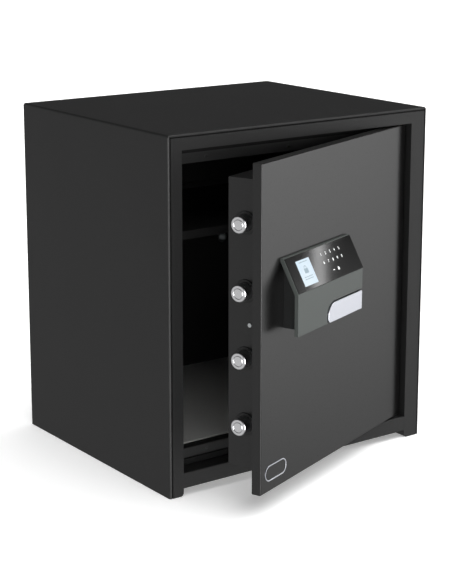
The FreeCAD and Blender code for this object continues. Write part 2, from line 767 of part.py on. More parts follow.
def panel_slab(low, high, front, back, u0, u1):
    """A slab lying in the sloped panel, between two distances up it and two depths."""
    corners = [slope_point(low, front), slope_point(high, front)]
    corners += [slope_point(high, back), slope_point(low, back)]
    return side_profile(corners, u0, u1)


def touch_glass():
    length = slope()[2]
    glass = panel_slab(0.8, length - 1.5, -1.0, 1.0, UNIT_LEFT + 1.8, UNIT_RIGHT + 1.0)
    return glass


def display_module():
    low, high, front, back = 8.0, 50.0, 1.0, 5.0
    return panel_slab(low, high, front, back, UNIT_LEFT + 22.5, UNIT_LEFT + 66.5)


def circuit_board():
    low, high, front = 6.0, 44.0, FASCIA_THICK + HOUSING_WALL
    return panel_slab(low, high, front, front + 1.6, UNIT_LEFT + 24.5, UNIT_RIGHT - 19)


def lever_pocket(grow, front, back):
    radius = PIVOT_U - LEVER_LEFT + LEVER_GAP + grow
    turn = rod(PIVOT_U, front, PIVOT_Z, radius, back - front, "v")
    hand = block(PIVOT_U, UNIT_RIGHT + 3, front, back, UNIT_BOTTOM - 3, PIVOT_Z + radius)
    return turn.fuse(hand)


def fascia():
    fold, door_end = behind_face(FASCIA_THICK)
    outline = [(-TOP_DEPTH, UNIT_TOP), (-FOLD_DEPTH, FOLD_Z), (-FOLD_DEPTH, UNIT_BOTTOM)]
    outline += [(-FOLD_DEPTH + FASCIA_THICK, UNIT_BOTTOM), fold, door_end, (0.0, UNIT_TOP)]
    body = side_profile(outline, UNIT_LEFT, UNIT_RIGHT)
    pocket = lever_pocket(0, -FOLD_DEPTH - 1, -FOLD_DEPTH + FASCIA_THICK + 1)
    return without(body, [pocket, touch_glass(), display_module()])


def keypad_housing():
    left, right = UNIT_LEFT + HOUSING_INSET, UNIT_RIGHT - HOUSING_INSET
    fold, door_end = behind_face(FASCIA_THICK)
    outline = [(0.0, HOUSING_BOTTOM), (-FOLD_DEPTH + FASCIA_THICK, HOUSING_BOTTOM), fold, door_end]
    body = side_profile(outline, left, right)
    inner_fold, inner_end = behind_face(FASCIA_THICK + HOUSING_WALL)
    floor = HOUSING_BOTTOM + HOUSING_WALL
    inner = [(1.0, floor), (-FOLD_DEPTH + FASCIA_THICK + HOUSING_WALL, floor), inner_fold, inner_end]
    inner.append((1.0, inner_end[1]))
    cavity = side_profile(inner, left + HOUSING_WALL, right - HOUSING_WALL)
    cavity = cavity.cut(lever_pocket(HOUSING_WALL, -FOLD_DEPTH, POCKET_BACK + HOUSING_WALL))
    bosses = [rod(u, -FOLD_DEPTH, z, 4.5, FOLD_DEPTH + 1, "v") for u, z in UNIT_SCREWS]
    cavity = without(cavity, bosses)
    holes = [lever_pocket(0, -FOLD_DEPTH - 1, POCKET_BACK), spindle_hole(6.4, POCKET_BACK - 1, 1)]
    holes += [rod(u, -12, z, 2.0, 13, "v") for u, z in UNIT_SCREWS]
    return without(body, [cavity] + holes)


def unit_screws():
    screws = []
    for u, z in UNIT_SCREWS:
        shank = rod(u, -12, z, 2.0, DOOR_THICK + 12, "v")
        screws.append(shank.fuse(rod(u, DOOR_THICK, z, 4.0, 3, "v")))
    return Part.makeCompound(screws)


def lever_plan(front, back):
    plan = block(LEVER_LEFT, LEVER_RIGHT, front, back, LEVER_BOTTOM, LEVER_TOP)
    shoulder = edges_at(plan, u=LEVER_LEFT, z=LEVER_TOP, along="v")
    plan = plan.makeFillet(LEVER_TOP - PIVOT_Z, shoulder)
    heel = edges_at(plan, u=LEVER_LEFT, z=LEVER_BOTTOM, along="v")
    plan = plan.makeFillet(6.0, heel)
    tip = edges_at(plan, u=LEVER_RIGHT, z=LEVER_TOP, along="v")
    tip += edges_at(plan, u=LEVER_RIGHT, z=LEVER_BOTTOM, along="v")
    return plan.makeFillet(1.5, tip)


LEVER_FACE_FRONT = -FOLD_DEPTH - 2.0
LEVER_FACE_BACK = -FOLD_DEPTH + 0.5
LEVER_BACK = POCKET_BACK - 1.0
SPINDLE_FRONT = LEVER_BACK - 6.0
SPINDLE_BACK = CAM_BACK + 2.5


def lever_handle():
    body = lever_plan(LEVER_FACE_BACK, LEVER_BACK)
    return body.cut(spindle_hole(SPINDLE_RADIUS, SPINDLE_FRONT, 0))


def lever_face():
    plate = lever_plan(LEVER_FACE_FRONT, LEVER_FACE_BACK)
    return plate.makeChamfer(0.4, edges_at(plate, v=LEVER_FACE_FRONT))


def spindle():
    shaft = spindle_hole(SPINDLE_RADIUS, SPINDLE_FRONT, SPINDLE_BACK)
    key_flat = block(
        PIVOT_U - 10, PIVOT_U + 10, CAM_FRONT - 1, SPINDLE_BACK + 1, PIVOT_Z + 4, PIVOT_Z + 10
    )
    return shaft.cut(key_flat)


def spindle_bush():
    tube = spindle_hole(BUSH_HOLE, 0, PLATE_BACK)
    return tube.cut(spindle_hole(SPINDLE_RADIUS + PIN_CLEARANCE, -1, PLATE_BACK + 1))


def spindle_clip():
    disc = spindle_hole(9.0, CAM_BACK, CAM_BACK + 0.8)
    return disc.cut(spindle())


def cam():
    lean = LEVER_TURN / 2
    hub = spindle_hole(13.0, CAM_FRONT, CAM_BACK)
    nose = rod(CAM_PIN_U, CAM_FRONT, CAM_PIN_Z, 8.0, CAM_BACK - CAM_FRONT, "v")
    web = block(PIVOT_U - 8, PIVOT_U + 8, CAM_FRONT, CAM_BACK, PIVOT_Z, PIVOT_Z + CAM_RADIUS)
    web.rotate(point(PIVOT_U, 0, PIVOT_Z), AXES["v"], -lean)
    pin = rod(CAM_PIN_U, CAM_FRONT, CAM_PIN_Z, CAM_PIN_RADIUS, BAR_BACK + 2 - CAM_FRONT, "v")
    return joined([hub, web, nose, pin]).cut(spindle())


def badge_plate():
    thick, tall, low = 1.0, 25.0, 57.0
    left, right = 53.0, 89.5
    bar = block(left, right, -thick, 0, low, low + tall)
    ends = [rod(u, -thick, low + tall / 2, tall / 2, thick, "v") for u in (left, right)]
    return joined([bar] + ends)


# ---------------------------------------------------------------- output

CABINET = [
    outer_shell, base_panel, back_panel, inner_frame, inner_frame_screws, fire_seal, liner,
    insulation_left, insulation_right, insulation_top, insulation_base, insulation_back,
    anchor_sleeves_base, anchor_sleeves_back, anchor_washers, floor_mat, shelf, shelf_pegs,
    hinge_mount_upper, hinge_mount_lower, hinge_pin_upper, hinge_pin_lower, hinge_washer,
]
DOOR = [
    door_skin, door_insulation, door_inner_plate, door_hinge_blocks, hinge_bushes, door_box,
    door_back_cover, cover_screws, side_screw, battery_tray, batteries, battery_cover,
    drill_plate, dead_bolts, bolt_collars, guide_pins, lock_case, lock_case_lid, lock_motor,
    lock_harness, bolts, bolt_screws, bolt_bar, lock_plunger, keypad_housing, fascia,
    touch_glass, display_module, circuit_board, unit_screws, lever_handle, lever_face,
    spindle, spindle_bush, spindle_clip, cam, badge_plate,
]


def write(name, shape):
    for solid in shape.Solids:
        if not solid.isValid():
            raise ValueError(name + " holds a solid that isn't valid")
    shape.exportStep(os.path.join(PARTS, name + ".step"))


os.makedirs(PARTS, exist_ok=True)
for make in CABINET:
    write(make.__name__, make())
for make in DOOR:
    write(make.__name__, hung(make()))
print("hinge axis", point(HINGE_U, PIN_V, 0), "cam radius", round(CAM_RADIUS, 3))
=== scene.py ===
import bpy
import json
import math
from mathutils import Matrix, Quaternion, Vector


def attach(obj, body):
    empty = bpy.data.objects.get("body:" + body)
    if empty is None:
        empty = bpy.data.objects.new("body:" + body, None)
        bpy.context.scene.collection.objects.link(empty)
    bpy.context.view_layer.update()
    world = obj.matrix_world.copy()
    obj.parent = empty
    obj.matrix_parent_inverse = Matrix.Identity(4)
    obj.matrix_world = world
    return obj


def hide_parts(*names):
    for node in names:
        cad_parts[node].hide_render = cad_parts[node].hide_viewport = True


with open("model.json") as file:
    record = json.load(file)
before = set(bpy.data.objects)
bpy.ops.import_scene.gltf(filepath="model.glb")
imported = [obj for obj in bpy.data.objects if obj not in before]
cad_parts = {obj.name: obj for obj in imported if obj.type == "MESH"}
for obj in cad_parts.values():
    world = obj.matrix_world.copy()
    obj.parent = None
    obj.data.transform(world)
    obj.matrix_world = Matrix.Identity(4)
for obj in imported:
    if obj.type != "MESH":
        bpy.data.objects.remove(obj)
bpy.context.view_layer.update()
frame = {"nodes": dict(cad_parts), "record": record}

# Stations are the cabinet's own, in millimetres: u right from its left side, v back from its
# front, z up from the floor. A door piece is made with v counted from the shut door's face,
# then set back into the frame and swung open.
MM = 0.001
HALF_WIDTH = 261.0
HALF_DEPTH = 220.0
CABINET_TALL = 575.0
DOOR_SET = 9.0
HINGE = (476.0, 17.0)
REST_ANGLE = math.radians(21.2)
FOLD = (-32.0, 346.0)
SLOPE_RISE = (27.0, 52.0)
SLOPE_LENGTH = math.hypot(*SLOPE_RISE)
GLASS_PROUD = 1.0


def at(u, v, z):
    """A station as a point in metres."""
    return Vector(((u - HALF_WIDTH) * MM, (v - HALF_DEPTH) * MM, z * MM))


HINGE_POINT = at(*HINGE, 0)
SWUNG = (
    Matrix.Translation(HINGE_POINT)
    @ Matrix.Rotation(REST_ANGLE, 4, "Z")
    @ Matrix.Translation(-HINGE_POINT)
    @ Matrix.Translation((0, DOOR_SET * MM, 0))
)
FACING_FRONT = Matrix.Rotation(math.radians(90.0), 4, "X")
FACING_BACK = Matrix.Rotation(math.radians(-90.0), 4, "X")
FACING_LEFT = Matrix.Rotation(math.radians(-90.0), 4, "Y")


# ------------------------------------------------------------------ bench tools

WELD_REACH = 0.01
FLAT_WITHIN = math.radians(0.4)
SMOOTH_BELOW = math.radians(40.0)


def only(piece):
    """Out of edit mode, with this piece the only one selected and active."""
    if bpy.context.object and bpy.context.object.mode != "OBJECT":
        bpy.ops.object.mode_set(mode="OBJECT")
    bpy.ops.object.select_all(action="DESELECT")
    piece.select_set(True)
    bpy.context.view_layer.objects.active = piece


def newest(name):
    """Name the piece that an operator has just made."""
    piece = bpy.context.object
    piece.name = name
    piece.data.name = name
    return piece


def pick(piece, test, kind="FACE"):
    """Into edit mode, with the faces whose normal passes the test, or the vertices whose
    place does."""
    only(piece)
    mesh = piece.data
    for part in (mesh.vertices, mesh.edges, mesh.polygons):
        part.foreach_set("select", [False] * len(part))
    bpy.context.tool_settings.mesh_select_mode = (kind == "VERT", False, kind == "FACE")
    if kind == "FACE":
        for face in mesh.polygons:
            face.select = test(face.normal)
    else:
        for vertex in mesh.vertices:
            vertex.select = test(vertex.co)
    bpy.ops.object.mode_set(mode="EDIT")


def looks_up(normal):
    return normal.z > 0.9


def done():
    """Back out of edit mode."""
    bpy.ops.object.mode_set(mode="OBJECT")


def settle(piece):
    """Move the piece's place into its mesh, so that its object sits at the origin."""
    only(piece)
    bpy.ops.object.transform_apply(location=True, rotation=True, scale=True)


def ease(piece, radius, steps=2, angle=30.0):
    """Round the sharp edges a little, then shade the faces smoothly."""
    only(piece)
    bevel = piece.modifiers.new("eased_edges", "BEVEL")
    bevel.width = radius * MM
    bevel.segments = steps
    bevel.limit_method = "ANGLE"
    bevel.angle_limit = math.radians(angle)
    bevel.miter_outer = "MITER_ARC"
    bpy.ops.object.modifier_apply(modifier=bevel.name)
    bpy.ops.object.shade_smooth_by_angle(angle=SMOOTH_BELOW)
    flat = piece.modifiers.new("level_faces", "WEIGHTED_NORMAL")
    flat.mode = "FACE_AREA"
    flat.weight = 100
    flat.keep_sharp = True
    bpy.ops.object.modifier_apply(modifier=flat.name)


def swing(piece):
    """Carry a finished piece from the shut door to the door's resting angle."""
    piece.matrix_world = SWUNG @ piece.matrix_world
    settle(piece)


def slab(name, low, high):
    """A box between two stations."""
    near, far = at(*low), at(*high)
    bpy.ops.mesh.primitive_cube_add(size=1.0, location=(near + far) / 2)
    piece = newest(name)
    piece.scale = far - near
    settle(piece)
    return piece


def round_bar(name, radius, length, sides=48, fill="NGON"):
    """A round bar whose face looks up from the origin, its length hanging below."""
    bpy.ops.mesh.primitive_cylinder_add(
        vertices=sides, radius=radius * MM, depth=length * MM, end_fill_type=fill,
        location=(0, 0, -length * MM / 2))
    piece = newest(name)
    settle(piece)
    return piece


def cut(piece, tool):
    """Take the tool's shape out of the piece; the tool is used up."""
    only(piece)
    hollow = piece.modifiers.new("cut", "BOOLEAN")
    hollow.operation = "DIFFERENCE"
    hollow.solver = "EXACT"
    hollow.object = tool
    bpy.ops.object.modifier_apply(modifier=hollow.name)
    bpy.data.objects.remove(tool)


def together(pieces, name):
    """Join pieces into one mesh."""
    only(pieces[0])
    for piece in pieces[1:]:
        piece.select_set(True)
    bpy.ops.object.join()
    return newest(name)


def repeated(piece, name, places):
    """Copies of a piece, each with its own mesh, joined; the pattern piece is used up."""
    copies = []
    for place in places:
        twin = piece.copy()
        twin.data = piece.data.copy()
        bpy.context.scene.collection.objects.link(twin)
        twin.matrix_world = place
        settle(twin)
        copies.append(twin)
    bpy.data.objects.remove(piece)
    return together(copies, name)


def fit(piece, body, finish):
    """Give a finished piece its material and the body that it moves with."""
    piece.data.materials.clear()
    piece.data.materials.append(finish)
    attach(piece, body)


def body_of_node(node):
    groups = frame["record"]["behaviour"]["bodies"]
    return next(body for body, members in groups.items() if node in members)


def dressed_copy(node, name):
    """A merged copy of a node's mesh, with its flat faces whole again."""
    piece = bpy.data.objects.new(name, frame["nodes"][node].data.copy())
    bpy.context.scene.collection.objects.link(piece)
    only(piece)
    bpy.ops.mesh.customdata_custom_splitnormals_clear()
    bpy.ops.object.mode_set(mode="EDIT")
    bpy.ops.mesh.select_all(action="SELECT")
    bpy.ops.mesh.remove_doubles(threshold=WELD_REACH * MM)
    bpy.ops.mesh.dissolve_limited(angle_limit=FLAT_WITHIN)
    done()
    return piece


# ------------------------------------------------------------------ colour and nodes

def hex_colour(text):
    """An sRGB hex colour as linear RGBA."""
    channels = [int(text[i:i + 2], 16) / 255 for i in (0, 2, 4)]
    linear = [c / 12.92 if c <= 0.04045 else ((c + 0.055) / 1.055) ** 2.4 for c in channels]
    return (*linear, 1.0)


def node(tree, kind, inputs=None, ends=(), **settings):
    """Add one node. Each input gets a value, or the output socket that feeds it. The ends are
    a colour ramp's two hex colours."""
    made = tree.nodes.new(kind)
    for name, value in settings.items():
        setattr(made, name, value)
    for socket, value in (inputs or {}).items():
        if isinstance(value, bpy.types.NodeSocket):
            tree.links.new(value, made.inputs[socket])
        else:
            made.inputs[socket].default_value = value
    for number, text in enumerate(ends):
        made.color_ramp.elements[number].color = hex_colour(text)
    return made


def blank(name):
    """An empty material and its node tree."""
    material = bpy.data.materials.new(name)
    material.use_nodes = True
    material.node_tree.nodes.clear()
    return material, material.node_tree


def finished(material, shader):
    """Join the shader to the material's output."""
    node(material.node_tree, "ShaderNodeOutputMaterial", {"Surface": shader.outputs["BSDF"]})
    return material


def per_metre(grain_mm):
    """A texture's scale for grains of this size on coordinates in metres."""
    return 1.0 / (grain_mm * MM)


# ------------------------------------------------------------------ finishes

def textured_powder_coat():
    """Steel with a fine-structure polyester powder coat: dull black, with a pebbled grain. Its
    colour is painted lighter on the grain's raised tips as painted glints, over a faint random
    cloud of tone."""
    material, tree = blank("fine_structure_powder_coat")
    place = node(tree, "ShaderNodeTexCoord").outputs["Object"]
    # The real grain is about 0.4 mm; it is drawn at 1.8 mm so that it shows.
    grain = node(tree, "ShaderNodeTexNoise", {
        "Vector": place, "Scale": per_metre(1.8), "Detail": 2.0, "Roughness": 0.6})
    pebble = node(tree, "ShaderNodeTexVoronoi", {
        "Vector": place, "Scale": per_metre(1.9)}, feature="SMOOTH_F1")
    cloud = node(tree, "ShaderNodeTexNoise", {
        "Vector": place, "Scale": per_metre(140.0), "Detail": 2.0})
    height = node(tree, "ShaderNodeMath", {
        0: grain.outputs["Fac"], 1: pebble.outputs["Distance"]}, operation="ADD")
    bump = node(tree, "ShaderNodeBump", {
        "Height": height.outputs[0], "Strength": 0.45, "Distance": 0.0004})
    # Painted glints: the colour is lighter where the grain stands high, and a faint random cloud of
    # tone is added over it.
    grain_glint = node(tree, "ShaderNodeMath", {
        0: grain.outputs["Fac"], 1: 0.75, 2: 0.0}, operation="MULTIPLY_ADD")
    shade = node(tree, "ShaderNodeMath", {
        0: cloud.outputs["Fac"], 1: 0.25, 2: grain_glint.outputs[0]}, operation="MULTIPLY_ADD")
    rough = node(tree, "ShaderNodeMapRange", {
        "Value": grain.outputs["Fac"], "To Min": 0.46, "To Max": 0.6})
    colour = node(tree, "ShaderNodeValToRGB", {"Fac": shade.outputs[0]}, ends=("101010", "202020"))
    shader = node(tree, "ShaderNodeBsdfPrincipled", {
        "Base Color": colour.outputs["Color"], "Roughness": rough.outputs["Result"],
        "Specular IOR Level": 0.5, "Normal": bump.outputs["Normal"]})
    return finished(material, shader)


def satin_powder_coat():
    """Smooth satin powder coat on the door: an even dark grey with a soft sheen and the
    faint orange peel of sprayed powder."""
    material, tree = blank("satin_powder_coat")
    place = node(tree, "ShaderNodeTexCoord").outputs["Object"]
    peel = node(tree, "ShaderNodeTexNoise", {
        "Vector": place, "Scale": per_metre(5.0), "Detail": 1.0})
    dust = node(tree, "ShaderNodeTexNoise", {
        "Vector": place, "Scale": per_metre(0.9), "Detail": 1.0})
    bump = node(tree, "ShaderNodeBump", {
        "Height": peel.outputs["Fac"], "Strength": 0.12, "Distance": 0.0002})
    rough = node(tree, "ShaderNodeMapRange", {
        "Value": dust.outputs["Fac"], "To Min": 0.26, "To Max": 0.31})
    colour = node(
        tree, "ShaderNodeValToRGB", {"Fac": peel.outputs["Fac"]}, ends=("0c0c0c", "101010"))
    shader = node(tree, "ShaderNodeBsdfPrincipled", {
        "Base Color": colour.outputs["Color"], "Roughness": rough.outputs["Result"],
        "Specular IOR Level": 0.5, "Normal": bump.outputs["Normal"]})
    return finished(material, shader)


def liner_paint():
    """Thin matte black paint on the inner box and shelf: nearly no sheen, a little dust in
    the low parts of the sprayed film."""
    material, tree = blank("matte_liner_paint")
    place = node(tree, "ShaderNodeTexCoord").outputs["Object"]
    film = node(tree, "ShaderNodeTexNoise", {
        "Vector": place, "Scale": per_metre(2.5), "Detail": 3.0})
    dust = node(tree, "ShaderNodeTexNoise", {
        "Vector": place, "Scale": per_metre(60.0), "Detail": 4.0})
    bump = node(tree, "ShaderNodeBump", {
        "Height": film.outputs["Fac"], "Strength": 0.2, "Distance": 0.0002})
    colour = node(
        tree, "ShaderNodeValToRGB", {"Fac": dust.outputs["Fac"]}, ends=("0f0f0f", "191919"))
    shader = node(tree, "ShaderNodeBsdfPrincipled", {
        "Base Color": colour.outputs["Color"], "Roughness": 0.7, "Specular IOR Level": 0.25,
        "Normal": bump.outputs["Normal"]})
    return finished(material, shader)


def mineral_board():
    """Light mineral fire board: chalky off-white with open pores and grey flecks."""
    material, tree = blank("mineral_fire_board")
    place = node(tree, "ShaderNodeTexCoord").outputs["Object"]
    pores = node(tree, "ShaderNodeTexVoronoi", {"Vector": place, "Scale": per_metre(3.0)})
    fleck = node(tree, "ShaderNodeTexNoise", {
        "Vector": place, "Scale": per_metre(6.0), "Detail": 5.0})
    bump = node(tree, "ShaderNodeBump", {
        "Height": pores.outputs["Distance"], "Strength": 0.4, "Distance": 0.0006})
    colour = node(
        tree, "ShaderNodeValToRGB", {"Fac": fleck.outputs["Fac"]}, ends=("b9b3a4", "e2ddd0"))
    shader = node(tree, "ShaderNodeBsdfPrincipled", {
        "Base Color": colour.outputs["Color"], "Roughness": 0.95, "Specular IOR Level": 0.2,
        "Normal": bump.outputs["Normal"]})
    return finished(material, shader)


def zinc_plate():
    """Bright zinc-plated steel: bluish silver, slightly cloudy from the passivation bath."""
    material, tree = blank("zinc_plated_steel")
    place = node(tree, "ShaderNodeTexCoord").outputs["Object"]
    cloud = node(tree, "ShaderNodeTexNoise", {
        "Vector": place, "Scale": per_metre(12.0), "Detail": 3.0})
    rough = node(tree, "ShaderNodeMapRange", {
        "Value": cloud.outputs["Fac"], "To Min": 0.26, "To Max": 0.42})
    colour = node(
        tree, "ShaderNodeValToRGB", {"Fac": cloud.outputs["Fac"]}, ends=("b4b8ba", "d0d3d2"))
    shader = node(tree, "ShaderNodeBsdfPrincipled", {
        "Metallic": 1.0, "Base Color": colour.outputs["Color"],
        "Roughness": rough.outputs["Result"]})
    return finished(material, shader)


def hardened_steel():
    """Hardened steel plate: dark blue-grey with mottled heat tint."""
    material, tree = blank("hardened_steel")
    place = node(tree, "ShaderNodeTexCoord").outputs["Object"]
    tint = node(tree, "ShaderNodeTexNoise", {
        "Vector": place, "Scale": per_metre(9.0), "Detail": 4.0})
    colour = node(
        tree, "ShaderNodeValToRGB", {"Fac": tint.outputs["Fac"]}, ends=("5a5c62", "7c7d80"))
    shader = node(tree, "ShaderNodeBsdfPrincipled", {
        "Metallic": 1.0, "Base Color": colour.outputs["Color"], "Roughness": 0.4})
    return finished(material, shader)


def turned_steel():
    """Turned and polished bolt steel: bright, with fine lathe rings that follow the
    piece's own turning."""
    material, tree = blank("turned_bolt_steel")
    turning = node(tree, "ShaderNodeAttribute", attribute_name="turning").outputs["Fac"]
    # Lathe rings are about 0.1 mm apart; they are drawn 0.8 mm apart so that they show.
    spread = node(tree, "ShaderNodeCombineXYZ", {"X": turning})
    rings = node(tree, "ShaderNodeTexNoise", {
        "Vector": spread.outputs["Vector"], "Scale": per_metre(0.8), "Detail": 2.0})
    rough = node(tree, "ShaderNodeMapRange", {
        "Value": rings.outputs["Fac"], "To Min": 0.2, "To Max": 0.38})
    bump = node(tree, "ShaderNodeBump", {
        "Height": rings.outputs["Fac"], "Strength": 0.15, "Distance": 0.0001})
    colour = node(
        tree, "ShaderNodeValToRGB", {"Fac": rings.outputs["Fac"]}, ends=("d6d6d8", "ececee"))
    shader = node(tree, "ShaderNodeBsdfPrincipled", {
        "Metallic": 1.0, "Base Color": colour.outputs["Color"],
        "Roughness": rough.outputs["Result"], "Normal": bump.outputs["Normal"]})
    return finished(material, shader)


def turned_brass():
    """Turned brass bushes: warm yellow, a little dulled."""
    material, tree = blank("turned_brass")
    place = node(tree, "ShaderNodeTexCoord").outputs["Object"]
    dull = node(tree, "ShaderNodeTexNoise", {
        "Vector": place, "Scale": per_metre(3.0), "Detail": 3.0})
    colour = node(
        tree, "ShaderNodeValToRGB", {"Fac": dull.outputs["Fac"]}, ends=("b8934a", "d9b566"))
    shader = node(tree, "ShaderNodeBsdfPrincipled", {
        "Metallic": 1.0, "Base Color": colour.outputs["Color"], "Roughness": 0.35})
    return finished(material, shader)


def black_oxide():
    """Black-oxide screws: nearly black, oily sheen, worn a little brighter in patches."""
    material, tree = blank("black_oxide_steel")
    place = node(tree, "ShaderNodeTexCoord").outputs["Object"]
    worn = node(tree, "ShaderNodeTexNoise", {
        "Vector": place, "Scale": per_metre(1.6), "Detail": 3.0})
    colour = node(
        tree, "ShaderNodeValToRGB", {"Fac": worn.outputs["Fac"]}, ends=("1a1a1a", "4a4a4a"))
    shader = node(tree, "ShaderNodeBsdfPrincipled", {
        "Metallic": 0.6, "Base Color": colour.outputs["Color"], "Roughness": 0.35})
    return finished(material, shader)


def seal_strip():
    """Intumescent fire seal: flat graphite-black strip with a scaly pressed surface."""
    material, tree = blank("intumescent_seal")
    place = node(tree, "ShaderNodeTexCoord").outputs["Object"]
    scale = node(tree, "ShaderNodeTexNoise", {
        "Vector": place, "Scale": per_metre(2.0), "Detail": 4.0})
    bump = node(tree, "ShaderNodeBump", {
        "Height": scale.outputs["Fac"], "Strength": 0.4, "Distance": 0.0003})
    colour = node(
        tree, "ShaderNodeValToRGB", {"Fac": scale.outputs["Fac"]}, ends=("0b0b0b", "161616"))
    shader = node(tree, "ShaderNodeBsdfPrincipled", {
        "Base Color": colour.outputs["Color"], "Roughness": 0.85, "Specular IOR Level": 0.2,
        "Normal": bump.outputs["Normal"]})
    return finished(material, shader)


def needle_felt():
    """Needle felt floor mat: pale grey, matted fibres, with painted shade in the hollows (the
    colour is darker where the tufts lie low) and a soft sheen at the rim."""
    material, tree = blank("needle_felt")
    place = node(tree, "ShaderNodeTexCoord").outputs["Object"]
    # Fibres are about 0.03 mm thick; the matting is drawn as 1.4 mm tufts so that it shows.
    tuft = node(tree, "ShaderNodeTexNoise", {
        "Vector": place, "Scale": per_metre(1.4), "Detail": 4.0, "Roughness": 0.7})
    fibre = node(tree, "ShaderNodeTexWave", {
        "Vector": place, "Scale": per_metre(9.0), "Distortion": 14.0, "Detail": 3.0})
    height = node(tree, "ShaderNodeMath", {
        0: fibre.outputs["Fac"], 1: 0.35, 2: tuft.outputs["Fac"]}, operation="MULTIPLY_ADD")
    bump = node(tree, "ShaderNodeBump", {
        "Height": height.outputs[0], "Strength": 0.7, "Distance": 0.0009})
    # Painted shade: the colour follows the tufts' height, darker in the low hollows.
    colour = node(
        tree, "ShaderNodeValToRGB", {"Fac": tuft.outputs["Fac"]}, ends=("6a6a68", "a3a3a0"))
    shader = node(tree, "ShaderNodeBsdfPrincipled", {
        "Base Color": colour.outputs["Color"], "Roughness": 0.95, "Specular IOR Level": 0.1,
        "Sheen Weight": 0.3, "Sheen Roughness": 0.5, "Normal": bump.outputs["Normal"]})
    return finished(material, shader)


def moulded_plastic():
    """Moulded black ABS: eroded fine grain with a low sheen."""
    material, tree = blank("moulded_black_abs")
    place = node(tree, "ShaderNodeTexCoord").outputs["Object"]
    # Spark-eroded grain is about 0.2 mm; it is drawn at 0.7 mm so that it shows.
    grain = node(tree, "ShaderNodeTexNoise", {
        "Vector": place, "Scale": per_metre(0.7), "Detail": 2.0})
    bump = node(tree, "ShaderNodeBump", {
        "Height": grain.outputs["Fac"], "Strength": 0.2, "Distance": 0.0001})
    colour = node(
        tree, "ShaderNodeValToRGB", {"Fac": grain.outputs["Fac"]}, ends=("0e0f0f", "191a1a"))
    shader = node(tree, "ShaderNodeBsdfPrincipled", {
        "Base Color": colour.outputs["Color"], "Roughness": 0.45, "Specular IOR Level": 0.4,
        "Normal": bump.outputs["Normal"]})
    return finished(material, shader)


def graphite_lacquer():
    """Graphite satin lacquer on the lock's fascia: warm grey-green metallic grey with very
    fine flake."""
    material, tree = blank("graphite_satin_lacquer")
    place = node(tree, "ShaderNodeTexCoord").outputs["Object"]
    # The flake is under 0.1 mm; it is drawn at 0.6 mm so that it shows.
    flake = node(tree, "ShaderNodeTexNoise", {
        "Vector": place, "Scale": per_metre(0.6), "Detail": 1.0})
    rough = node(tree, "ShaderNodeMapRange", {
        "Value": flake.outputs["Fac"], "To Min": 0.36, "To Max": 0.46})
    colour = node(
        tree, "ShaderNodeValToRGB", {"Fac": flake.outputs["Fac"]}, ends=("3f4341", "4c504e"))
    shader = node(tree, "ShaderNodeBsdfPrincipled", {
        "Metallic": 0.25, "Base Color": colour.outputs["Color"],
        "Roughness": rough.outputs["Result"], "Specular IOR Level": 0.5})
    return finished(material, shader)


def printed_glass():
    """Black back-printed glass of the key field: deep black under a polished clear face."""
    material, tree = blank("black_printed_glass")
    place = node(tree, "ShaderNodeTexCoord").outputs["Object"]
    smear = node(tree, "ShaderNodeTexNoise", {
        "Vector": place, "Scale": per_metre(30.0), "Detail": 3.0})
    rough = node(tree, "ShaderNodeMapRange", {
        "Value": smear.outputs["Fac"], "To Min": 0.07, "To Max": 0.09})
    colour = node(
        tree, "ShaderNodeValToRGB", {"Fac": smear.outputs["Fac"]}, ends=("040404", "060606"))
    shader = node(tree, "ShaderNodeBsdfPrincipled", {
        "Base Color": colour.outputs["Color"], "Roughness": rough.outputs["Result"], "IOR": 1.52})
    return finished(material, shader)


def lit_screen():
    """Lit display: cool white, a little bluer towards one side, with its own light."""
    material, tree = blank("lit_display")
    place = node(tree, "ShaderNodeTexCoord").outputs["Object"]
    fade = node(tree, "ShaderNodeTexNoise", {
        "Vector": place, "Scale": per_metre(45.0), "Detail": 1.0})
    glow = node(tree, "ShaderNodeValToRGB", {"Fac": fade.outputs["Fac"]}, ends=("c4e0f4", "f2fafe"))
    shader = node(tree, "ShaderNodeBsdfPrincipled", {
        "Base Color": hex_colour("101418"), "Roughness": 0.2,
        "Emission Color": glow.outputs["Color"], "Emission Strength": 0.95})
    return finished(material, shader)


def screen_ink():
    """Dark parts of the display's picture: pale blue-grey on the lit ground."""
    material, tree = blank("display_ink")
    place = node(tree, "ShaderNodeTexCoord").outputs["Object"]
    fade = node(tree, "ShaderNodeTexNoise", {"Vector": place, "Scale": per_metre(8.0)})
    glow = node(tree, "ShaderNodeValToRGB", {"Fac": fade.outputs["Fac"]}, ends=("9fb4c0", "b4c8d2"))
    shader = node(tree, "ShaderNodeBsdfPrincipled", {
        "Base Color": hex_colour("101418"), "Roughness": 0.3,
        "Emission Color": glow.outputs["Color"], "Emission Strength": 0.9})
    return finished(material, shader)


def key_print():
    """White screen print of the digits, lit softly from behind the glass."""
    material, tree = blank("backlit_white_print")
    place = node(tree, "ShaderNodeTexCoord").outputs["Object"]
    fade = node(tree, "ShaderNodeTexNoise", {"Vector": place, "Scale": per_metre(6.0)})
    glow = node(tree, "ShaderNodeValToRGB", {"Fac": fade.outputs["Fac"]}, ends=("d9dcdd", "f4f6f6"))
    shader = node(tree, "ShaderNodeBsdfPrincipled", {
        "Base Color": hex_colour("e8eaea"), "Roughness": 0.4,
        "Emission Color": glow.outputs["Color"], "Emission Strength": 0.7})
    return finished(material, shader)


def solder_mask():
    """Glass-fibre circuit board under green solder mask, with paler weave."""
    material, tree = blank("green_solder_mask")
    place = node(tree, "ShaderNodeTexCoord").outputs["Object"]
    weave = node(tree, "ShaderNodeTexBrick", {
        "Vector": place, "Scale": per_metre(4.0),
        "Color1": hex_colour("1d5a34"), "Color2": hex_colour("226640"),
        "Mortar": hex_colour("2d7a4c")})
    shader = node(tree, "ShaderNodeBsdfPrincipled", {
        "Base Color": weave.outputs["Color"], "Roughness": 0.4})
    return finished(material, shader)


